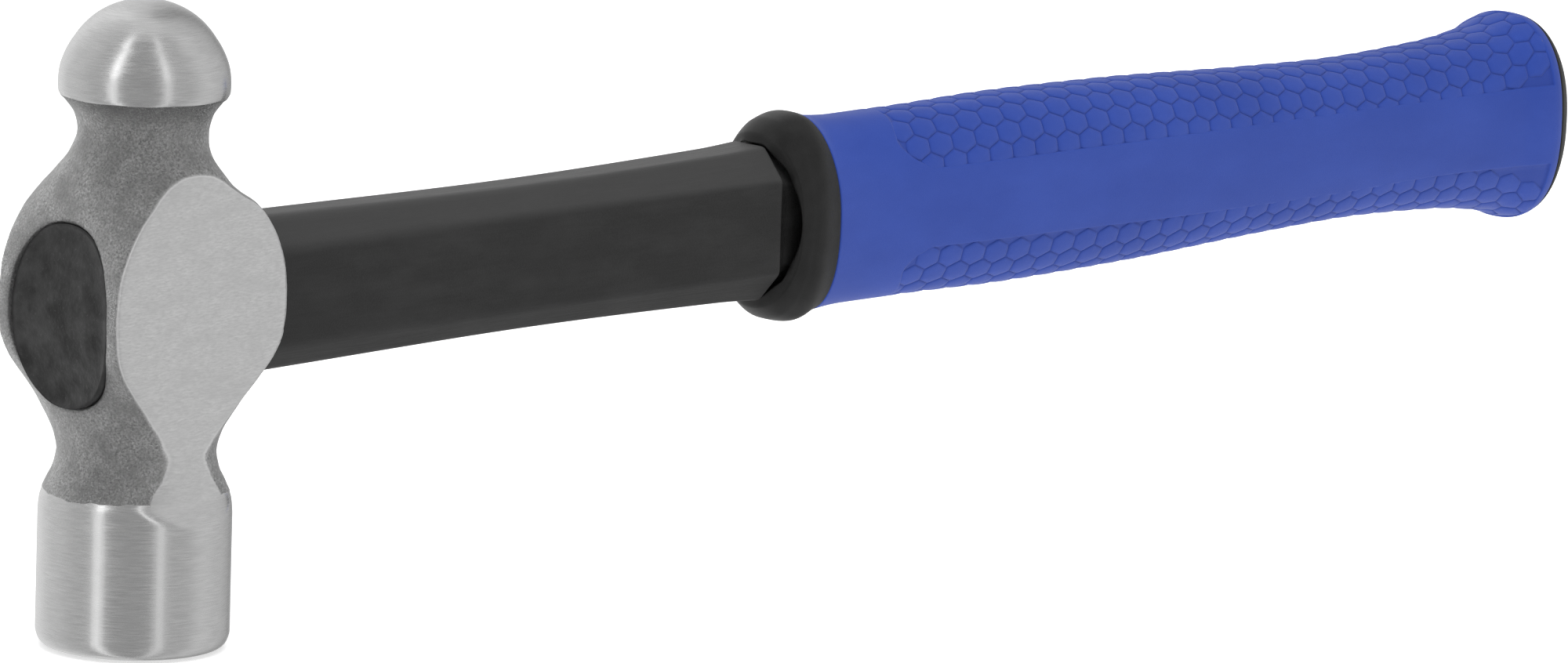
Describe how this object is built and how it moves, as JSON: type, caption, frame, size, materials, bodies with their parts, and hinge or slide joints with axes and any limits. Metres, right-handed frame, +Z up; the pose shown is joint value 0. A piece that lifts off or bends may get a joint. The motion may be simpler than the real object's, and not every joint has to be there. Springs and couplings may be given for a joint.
{
  "type": "ball peen hammer",
  "caption": "Ball peen hammer: a forged steel head with a round striking face and a ball, potted on a fibreglass handle with a soft honeycomb grip.",
  "frame": {"origin": "centre of the striking face", "axes": "+Z up the head to the ball, +X along the handle to the butt, cheeks facing -Y and +Y"},
  "size_m": [0.3433, 0.0304, 0.102],
  "materials": {
    "forged_steel": "turned bright on the ball and the bell, ground on the cheeks, and left rough from forging on the necks and the ends of the eye",
    "potting_resin": "dark cast resin, mottled and half gloss",
    "seal_rubber": "matt",
    "fibreglass": "pultruded glass rod, fibres along its length",
    "black_jacket": "moulded, finely grained and half matt",
    "black_liner": "moulded, smooth and half matt",
    "blue_rubber": "soft moulded cover, matt, with honeycomb pads above and below"
  },
  "bodies": {
    "root": {"hammer_head": "forged_steel", "eye_resin": "potting_resin", "eye_seal": "seal_rubber", "fibreglass_core": "fibreglass", "shaft_jacket": "black_jacket", "grip_liner": "black_liner", "grip_cover": "blue_rubber"}
  },
  "joints": []
}
